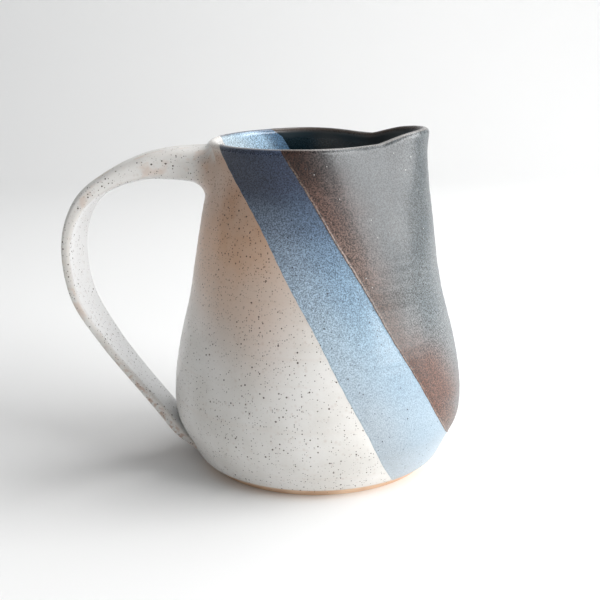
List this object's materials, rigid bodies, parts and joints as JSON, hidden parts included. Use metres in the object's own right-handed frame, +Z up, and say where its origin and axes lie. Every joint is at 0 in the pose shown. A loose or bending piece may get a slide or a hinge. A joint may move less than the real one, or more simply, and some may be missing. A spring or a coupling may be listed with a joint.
{
  "type": "ceramic pitcher",
  "caption": "Wheel-thrown bellied pitcher with a pinched spout, a pulled strap handle from rim to belly, and slanted overlapping glaze coats over a bare flat foot.",
  "frame": {"origin": "centre of the flat bare foot, on the surface that the pitcher stands on", "axes": "+X towards the spout, -X towards the handle, +Z up, +Y to the left of someone looking along +X"},
  "size_m": [0.1937, 0.1428, 0.1638],
  "materials": {
    "stoneware": "bare fired stoneware, matt, fine sandy grain",
    "white_glaze": "satin warm white glaze with brown iron specks and a tan blush where it is thin",
    "blue_glaze": "glossy speckled blue, slate at the rim and paler towards the foot",
    "dark_glaze": "glossy gunmetal breaking to brown, fine orange-peel texture"
  },
  "bodies": {
    "root": {"thrown_body": "stoneware", "pulled_handle": "stoneware", "upper_join_coil": "white_glaze", "lower_join_coil": "white_glaze", "body_white_glaze": "white_glaze", "handle_white_glaze": "white_glaze", "blue_glaze_band": "blue_glaze", "dark_glaze": "dark_glaze"}
  },
  "joints": []
}
